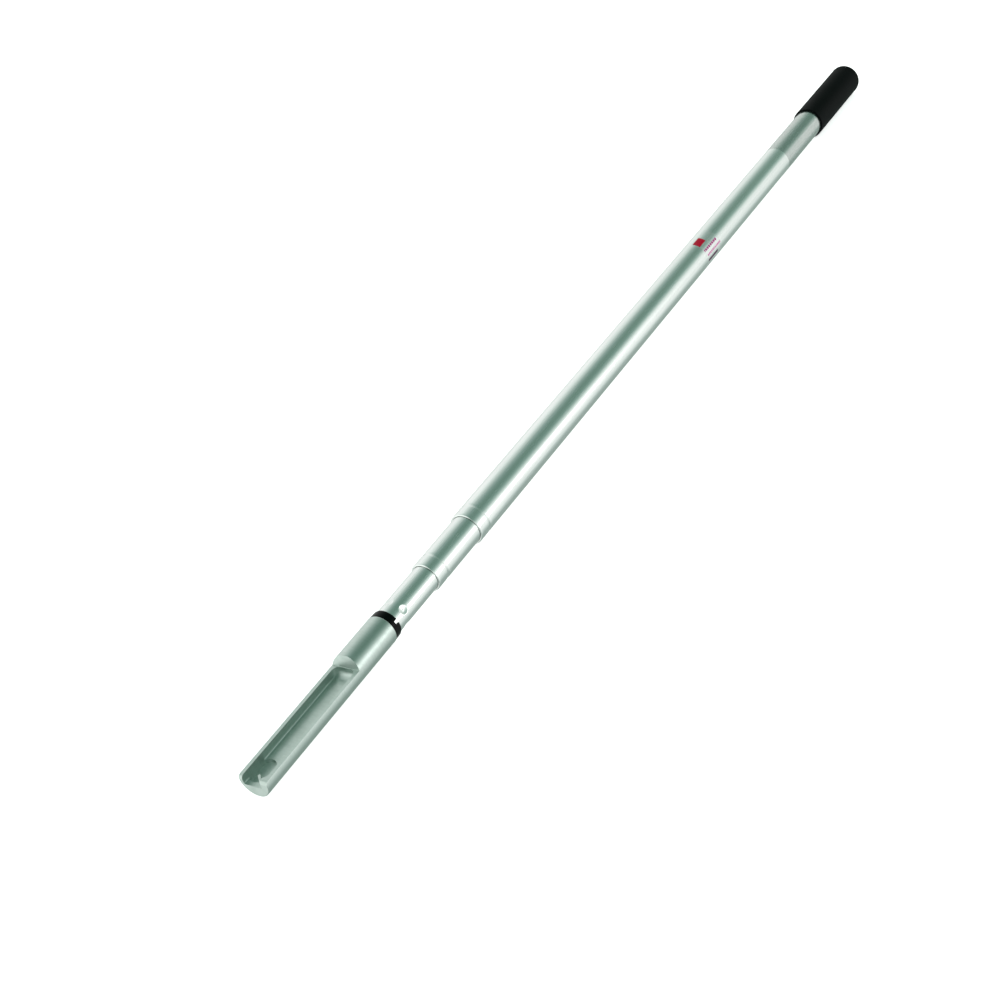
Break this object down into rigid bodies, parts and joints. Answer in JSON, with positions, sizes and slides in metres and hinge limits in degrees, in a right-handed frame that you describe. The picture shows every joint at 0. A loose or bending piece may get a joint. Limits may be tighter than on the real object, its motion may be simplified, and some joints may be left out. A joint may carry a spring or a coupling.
{
  "type": "roller extension pole",
  "caption": "Telescoping aluminium extension pole with an open channel head, twist locks and a black butt cap.",
  "frame": {"origin": "centre of the head's free end face, on the pole's axis", "axes": "+X along the pole from the head to the butt cap, +Z out of the head's open channel, +Y to the left seen from the free end"},
  "size_m": [1.1065, 0.0322, 0.0322],
  "materials": {
    "tube_aluminium": "satin drawn and clear anodised",
    "head_aluminium": "milled and satin anodised",
    "collar_black": "moulded, glossy",
    "cap_vinyl": "dipped vinyl, matte",
    "plug_nylon": "moulded glass-filled nylon",
    "acetal_natural": "moulded acetal",
    "zinc_steel": "bright zinc plate",
    "bumper_rubber": "moulded rubber",
    "film_clear": "clear shrunk film",
    "label_print": "printed polyester film"
  },
  "bodies": {
    "outer": {"outer_tube": "tube_aluminium", "end_cap": "cap_vinyl", "butt_plug": "plug_nylon", "butt_bumper": "bumper_rubber", "tube_film": "film_clear", "label": "label_print"},
    "middle_guide": {"middle_guide_bushing": "acetal_natural"},
    "middle": {"middle_tube": "tube_aluminium", "middle_bumper": "bumper_rubber", "middle_lock_plug": "plug_nylon", "middle_cam_washer": "zinc_steel", "middle_cam_screw": "zinc_steel"},
    "middle_cam": {"middle_cam_ring": "acetal_natural"},
    "inner_guide": {"inner_guide_bushing": "acetal_natural"},
    "inner": {"inner_tube": "tube_aluminium", "head": "head_aluminium", "head_collar": "collar_black", "inner_lock_plug": "plug_nylon", "inner_cam_washer": "zinc_steel", "inner_cam_screw": "zinc_steel"},
    "inner_cam": {"inner_cam_ring": "acetal_natural"}
  },
  "joints": [
    {"name": "middle_twist", "type": "hinge", "parent": "outer", "child": "middle_guide", "pos_m": [0.28485, 0, 0], "axis": [1, 0, 0], "range_deg": [-30, 30]},
    {"name": "middle_slide", "type": "slide", "parent": "middle_guide", "child": "middle", "axis": [-1, 0, 0], "range_m": [0, 0.7361]},
    {"name": "middle_cam_turn", "type": "hinge", "parent": "middle", "child": "middle_cam", "pos_m": [1.0653, 0, -0.001], "axis": [1, 0, 0], "range_deg": [-30, 30]},
    {"name": "inner_twist", "type": "hinge", "parent": "middle", "child": "inner_guide", "pos_m": [0.22485, 0, 0], "axis": [1, 0, 0], "range_deg": [-30, 30]},
    {"name": "inner_slide", "type": "slide", "parent": "inner_guide", "child": "inner", "axis": [-1, 0, 0], "range_m": [0, 0.7218]},
    {"name": "inner_cam_turn", "type": "hinge", "parent": "inner", "child": "inner_cam", "pos_m": [0.991, 0, -0.001], "axis": [1, 0, 0], "range_deg": [-30, 30]}
  ],
  "couplings": [
    {"joint": "middle_cam_turn", "follows": "middle_twist", "ratio": -1},
    {"joint": "inner_cam_turn", "follows": "inner_twist", "ratio": -1}
  ]
}
